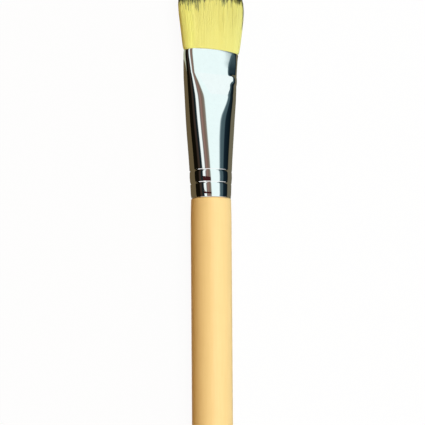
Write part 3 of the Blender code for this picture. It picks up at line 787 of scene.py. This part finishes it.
def build_tuft():
    """Filaments on a jittered lattice, each of which keeps its place in the bundle's section."""
    chance = random.Random(CHANCE_SEED)
    sections = TuftSections()
    fine_clump = clump_curve(chance, FINE_CLUMPS, 1.0)
    broad_clump = clump_curve(chance, BROAD_CLUMPS, 1.0)
    line_clump = clump_curve(chance, LINE_CLUMPS, LINE_CLUMP_SPREAD)
    end_clump = clump_curve(chance, END_CLUMPS, END_CLUMP_SPREAD)
    material = two_tone_filament()
    rows_per_layer = math.ceil(FILAMENT_ROWS / FILAMENT_LAYERS)
    strands = [[] for _ in range(FILAMENT_LAYERS)]
    for row in range(FILAMENT_ROWS):
        for column in range(FILAMENT_COLUMNS):
            across = (column + 0.5 + chance.uniform(-PLACE_JITTER, PLACE_JITTER)) / FILAMENT_COLUMNS * 2 - 1
            through = (row + 0.5 + chance.uniform(-PLACE_JITTER, PLACE_JITTER)) / FILAMENT_ROWS * 2 - 1
            strands[min(FILAMENT_LAYERS - 1, row // rows_per_layer)].append((across, through))
    for layer, places in enumerate(strands):
        curve = bpy.data.curves.new(f"filaments_{layer + 1}", "CURVE")
        curve.dimensions = "3D"
        curve.bevel_depth = FILAMENT_RADIUS
        curve.bevel_resolution = 0
        curve.twist_mode = "Z_UP"
        facts = []
        for across, through in places:
            dome = math.sqrt(max(0.0, 1 - across * across))
            length = between(TUFT_SIDE_LENGTH, TUFT_LENGTH, dome) - FACE_LAYER_DROP * through * through
            length -= abs(end_clump(across)) + abs(chance.gauss(0, END_SPREAD))
            if chance.random() < SHORT_STRAND_CHANCE:
                length -= chance.uniform(*SHORT_STRAND_LOSS)
            end = MOUTH_HEIGHT + length
            line = MOUTH_HEIGHT + COLOUR_LINE_HEIGHT - COLOUR_LINE_SIDE_DROP * across * across
            line += line_clump(across) + chance.gauss(0, LINE_SPREAD) - COLOUR_LINE_TILT * across
            if chance.random() < DYED_STRAND_CHANCE:
                line -= chance.uniform(*DYED_STRAND_REACH)
            for place, half, reach in DYED_CLUMPS:
                if abs(across - place) < half and chance.random() < CLUMP_DYED_CHANCE:
                    line -= chance.uniform(CLUMP_LEAST_REACH, reach)
            if across < DYED_EDGE_SHARE and DYED_EDGE_LAYERS[0] < through < DYED_EDGE_LAYERS[1]:
                line -= chance.uniform(*EDGE_DYED_REACH)
            drift = chance.gauss(0, DRIFT_SPREAD) + CLUMP_DRIFT * fine_clump(across)
            lift = chance.gauss(0, LIFT_SPREAD)
            heights = [MOUTH_HEIGHT - ROOT_DEPTH, MOUTH_HEIGHT - ROOT_SQUEEZE_DEPTH]
            heights += [MOUTH_HEIGHT + rise for rise in STRAND_RISES]
            heights += [between(MOUTH_HEIGHT + STRAND_RISES[-1], end, share) for share in (0.5, 1.0)]
            spline = curve.splines.new("POLY")
            spline.points.add(len(heights) - 1)
            for i, height in enumerate(heights):
                loose = clamp_share((height - MOUTH_HEIGHT) / TUFT_LENGTH)
                u = max(-1.0, min(1.0, across + drift * loose))
                v = max(-1.0, min(1.0, through + lift * loose))
                x, y, z = LAID_DOWN @ Vector(sections.point(u, v, height))
                spline.points[i].co = (x, y, z, 1.0)
                spline.points[i].radius = 1.0 if i < len(heights) - 1 else STRAND_END_RADIUS_SHARE
            tint = MIDDLE_TINT + FINE_CLUMP_TINT * fine_clump(across)
            tint += BROAD_CLUMP_TINT * broad_clump(across)
            tint = clamp_share(tint + chance.gauss(0, TINT_SPREAD))
            facts.append((tint, across, line))
        shape = bpy.data.objects.new(curve.name, curve)
        bpy.context.scene.collection.objects.link(shape)
        bpy.context.view_layer.update()
        ready = shape.evaluated_get(bpy.context.evaluated_depsgraph_get())
        data = bpy.data.meshes.new_from_object(ready)
        bpy.data.objects.remove(shape, do_unlink=True)
        points_each = len(data.vertices) // len(places)
        tints, sides, overs = [], [], []
        for number, vertex in enumerate(data.vertices):
            tint, across, line = facts[number // points_each]
            tints.append(tint)
            sides.append(-across)
            overs.append((vertex.co.x - AXIS_X - line) * MM_PER_METRE)
        for name, values in (("strand_tint", tints), ("tuft_side", sides), ("over_line", overs)):
            layer_data = data.attributes.new(name, "FLOAT", "POINT")
            layer_data.data.foreach_set("value", values)
        data.shade_smooth()
        make_piece(f"filaments_{layer + 1}", data, material, ["tuft"])


# Pieces kept from the CAD

def dress_node(name, material):
    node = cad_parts[name]
    node.data.materials.clear()
    node.data.materials.append(material)


# Stage

def emission_material(name, colour):
    material = bpy.data.materials.new(name)
    material.use_nodes = True
    nodes = material.node_tree.nodes
    nodes.clear()
    output = nodes.new("ShaderNodeOutputMaterial")
    glow = nodes.new("ShaderNodeEmission")
    glow.inputs["Color"].default_value = (*colour, 1.0)
    material.node_tree.links.new(glow.outputs["Emission"], output.inputs["Surface"])
    return material


def seen_ray(nodes, links):
    """1 for camera, glossy and transmission rays."""
    path = nodes.new("ShaderNodeLightPath")
    first = nodes.new("ShaderNodeMath")
    first.operation = "MAXIMUM"
    links.new(path.outputs["Is Camera Ray"], first.inputs[0])
    links.new(path.outputs["Is Glossy Ray"], first.inputs[1])
    second = nodes.new("ShaderNodeMath")
    second.operation = "MAXIMUM"
    links.new(first.outputs[0], second.inputs[0])
    links.new(path.outputs["Is Transmission Ray"], second.inputs[1])
    return second.outputs[0]


def build_floor():
    """A pale floor that looks white to the camera and keeps a faint shadow."""
    mesh = bmesh.new()
    bmesh.ops.create_grid(mesh, x_segments=1, y_segments=1, size=FLOOR_SIZE)
    bmesh.ops.translate(mesh, verts=mesh.verts[:], vec=(0.0, 0.0, -FLOOR_DROP))
    data = bpy.data.meshes.new("floor")
    mesh.to_mesh(data)
    mesh.free()
    floor = bpy.data.objects.new("floor", data)
    bpy.context.scene.collection.objects.link(floor)
    material = bpy.data.materials.new("pale_floor")
    material.use_nodes = True
    nodes, links = material.node_tree.nodes, material.node_tree.links
    nodes.clear()
    output = nodes.new("ShaderNodeOutputMaterial")
    matte = nodes.new("ShaderNodeBsdfDiffuse")
    matte.inputs["Color"].default_value = (*FLOOR_COLOUR, 1.0)
    glow = nodes.new("ShaderNodeEmission")
    glow.inputs["Color"].default_value = (1.0, 1.0, 1.0, 1.0)
    glow.inputs["Strength"].default_value = 1.0
    share = nodes.new("ShaderNodeMath")
    share.operation = "MULTIPLY"
    share.inputs[1].default_value = FLOOR_GLOW_SHARE
    links.new(seen_ray(nodes, links), share.inputs[0])
    mix = nodes.new("ShaderNodeMixShader")
    links.new(share.outputs[0], mix.inputs[0])
    links.new(matte.outputs[0], mix.inputs[1])
    links.new(glow.outputs[0], mix.inputs[2])
    links.new(mix.outputs[0], output.inputs["Surface"])
    data.materials.append(material)


def build_world():
    world = bpy.data.worlds.new("studio")
    bpy.context.scene.world = world
    world.use_nodes = True
    nodes, links = world.node_tree.nodes, world.node_tree.links
    background = nodes["Background"]
    background.inputs["Color"].default_value = (1.0, 1.0, 1.0, 1.0)
    strength = nodes.new("ShaderNodeMapRange")
    strength.inputs["To Min"].default_value = UNSEEN_WORLD_STRENGTH
    strength.inputs["To Max"].default_value = 1.0
    links.new(seen_ray(nodes, links), strength.inputs["Value"])
    links.new(strength.outputs["Result"], background.inputs["Strength"])


def tent_material():
    """Plain bands of light and shade round the brush, drawn by the angle from straight up."""
    material = bpy.data.materials.new("tent_bands")
    material.use_nodes = True
    nodes, links = material.node_tree.nodes, material.node_tree.links
    nodes.clear()
    place = nodes.new("ShaderNodeTexCoord")
    split = nodes.new("ShaderNodeSeparateXYZ")
    links.new(place.outputs["Object"], split.inputs[0])
    turn = nodes.new("ShaderNodeMath")
    turn.operation = "ARCTAN2"
    links.new(split.outputs["Y"], turn.inputs[0])
    links.new(split.outputs["Z"], turn.inputs[1])
    share = nodes.new("ShaderNodeMapRange")
    share.inputs["From Min"].default_value = math.radians(RAMP_END_DEGREES)
    share.inputs["From Max"].default_value = math.radians(-RAMP_END_DEGREES)
    links.new(turn.outputs[0], share.inputs["Value"])
    ramp_node = nodes.new("ShaderNodeValToRGB")
    ramp = ramp_node.color_ramp
    links.new(share.outputs["Result"], ramp_node.inputs["Fac"])
    for number, (angle, colour) in enumerate(TENT_BANDS):
        element = ramp.elements[number] if number < 2 else ramp.elements.new(1.0)
        element.position = (angle + RAMP_END_DEGREES) / (2 * RAMP_END_DEGREES)
        element.color = (*colour, 1.0)
    glow = nodes.new("ShaderNodeEmission")
    links.new(ramp_node.outputs["Color"], glow.inputs["Color"])
    output = nodes.new("ShaderNodeOutputMaterial")
    links.new(glow.outputs["Emission"], output.inputs["Surface"])
    return material


def stage_card(name, mesh, place, material, glossy=True):
    """A card that only reflections see, or only bounced light."""
    data = bpy.data.meshes.new(name)
    mesh.to_mesh(data)
    mesh.free()
    data.materials.append(material)
    card = bpy.data.objects.new(name, data)
    bpy.context.scene.collection.objects.link(card)
    card.location = place
    card.visible_camera = False
    card.visible_diffuse = not glossy
    card.visible_glossy = glossy
    card.visible_shadow = False
    card.visible_transmission = False
    card.visible_volume_scatter = False


def arc_card(name, ends, radius, degrees, material):
    """A card bent round the brush's axis, by its first angle, last angle and step."""
    first, last, step = degrees
    mesh = bmesh.new()
    verts = [mesh.verts.new((along, 0.0, radius)) for along in ends]
    edge = mesh.edges.new(verts)
    turn = Matrix.Rotation(math.radians(first), 3, "X")
    bmesh.ops.rotate(mesh, verts=verts, cent=(0, 0, 0), matrix=turn)
    bmesh.ops.spin(
        mesh, geom=verts + [edge], cent=(0, 0, 0), axis=(1, 0, 0), dvec=(0, 0, 0),
        angle=math.radians(last - first), steps=abs(last - first) // step,
        use_merge=False, use_normal_flip=False, use_duplicate=False,
    )
    stage_card(name, mesh, (0.0, 0.0, AXIS_Z), material)


def build_arc_cards():
    """The tent round the brush, a white card past the tuft and a dark red card over the handle.

    The steep stretch below the pressed faces sees the white card, and the swell between the
    crimps sees the red one.
    """
    arc_card("reflection_tent", STAGE_ENDS, TENT_RADIUS, TENT_DEGREES, tent_material())
    white = emission_material("end_reflector", END_WHITE)
    arc_card("end_reflector", END_REFLECTOR_ENDS, CARD_RADIUS, END_REFLECTOR_DEGREES, white)
    red = emission_material("dark_red_card", DARK_RED_CARD)
    arc_card("dark_red_card", DARK_CARD_ENDS, CARD_RADIUS, DARK_CARD_DEGREES, red)


def floor_card(name, near, far, side, colour, glossy=True, ends=STAGE_ENDS):
    """A flat card just over the floor, at one side of the brush."""
    mesh = bmesh.new()
    verts = [mesh.verts.new((along, side * near, 0.0)) for along in ends]
    edge = mesh.edges.new(verts)
    grown = bmesh.ops.extrude_edge_only(mesh, edges=[edge])["geom"]
    moved = [item for item in grown if isinstance(item, bmesh.types.BMVert)]
    bmesh.ops.translate(mesh, verts=moved, vec=(0.0, side * (far - near), 0.0))
    stage_card(name, mesh, (0.0, 0.0, GROUND_CARD_HEIGHT), emission_material(name, colour), glossy)


def build_floor_cards():
    handle_ends = (STAGE_ENDS[0], PALE_GROUND_START)
    tuft_ends = (PALE_GROUND_START, STAGE_ENDS[1])
    floor_card("olive_ground", GROUND_START, NEAR_GROUND_REACH, 1, BROWN_OLIVE_GROUND, ends=handle_ends)
    floor_card("pale_ground", GROUND_START, NEAR_GROUND_REACH, 1, PALE_GROUND, ends=tuft_ends)
    floor_card("black_ground", NEAR_GROUND_REACH, GROUND_REACH, 1, BLACK_CLOTH)
    floor_card("olive_ground_right", GROUND_START, GROUND_REACH, -1, OLIVE_GROUND)
    floor_card("warm_ground", GROUND_START, WARM_GROUND_REACH, 1, WARM_GROUND, glossy=False)


def lamp(name, place, watts, colour=(1.0, 1.0, 1.0)):
    """A lamp that shines on the ferrule, and that no reflection sees."""
    data = bpy.data.lights.new(name, "AREA")
    data.shape = "RECTANGLE"
    data.size, data.size_y = LAMP_SIZE
    data.energy = watts
    data.color = colour
    light = bpy.data.objects.new(name, data)
    bpy.context.scene.collection.objects.link(light)
    light.location = place
    light.rotation_euler = (Vector(LAMP_TARGET) - Vector(place)).to_track_quat("-Z", "Y").to_euler()
    light.visible_glossy = False


def build_lights():
    lamp("overhead_box", (0.03, -0.05, 0.6), watts=4.6)
    lamp("warm_fill", (0.03, 0.5, 0.33), watts=1.05, colour=(1.0, 0.53, 0.05))
    lamp("side_fill", (0.03, -0.6, 0.35), watts=1.1)


def build_camera():
    back = Vector((
        -math.sin(CAMERA_END_TILT),
        math.cos(CAMERA_END_TILT) * math.sin(CAMERA_SIDE_TILT),
        math.cos(CAMERA_END_TILT) * math.cos(CAMERA_SIDE_TILT),
    ))
    level_right = Vector((1.0, 0.0, 0.0)).cross(back).normalized()
    level_up = back.cross(level_right)
    right = level_right * math.cos(CAMERA_ROLL) + level_up * math.sin(CAMERA_ROLL)
    up = back.cross(right)
    aim = Vector((AIM_ALONG, 0.0, AXIS_Z)) + level_right * AIM_ACROSS
    data = bpy.data.cameras.new("camera")
    data.sensor_width = 36.0
    data.lens = FOCAL_PIXELS / PHOTO_PIXELS * 36.0
    data.clip_start = 0.01
    camera = bpy.data.objects.new("camera", data)
    bpy.context.scene.collection.objects.link(camera)
    camera.matrix_world = Matrix.Translation(aim + back * CAMERA_DISTANCE) @ Matrix((
        (right.x, up.x, back.x), (right.y, up.y, back.y), (right.z, up.z, back.z),
    )).to_4x4()
    bpy.context.scene.camera = camera


bpy.context.scene.view_settings.view_transform = "Standard"
build_camera()
build_handle()
build_ferrule()
build_tuft()
resin = set_resin()
dress_node("tenon_glue", resin)
dress_node("root_resin", resin)
dress_node("root_binding", waxed_thread())
build_floor()
build_world()
build_lights()
build_arc_cards()
build_floor_cards()
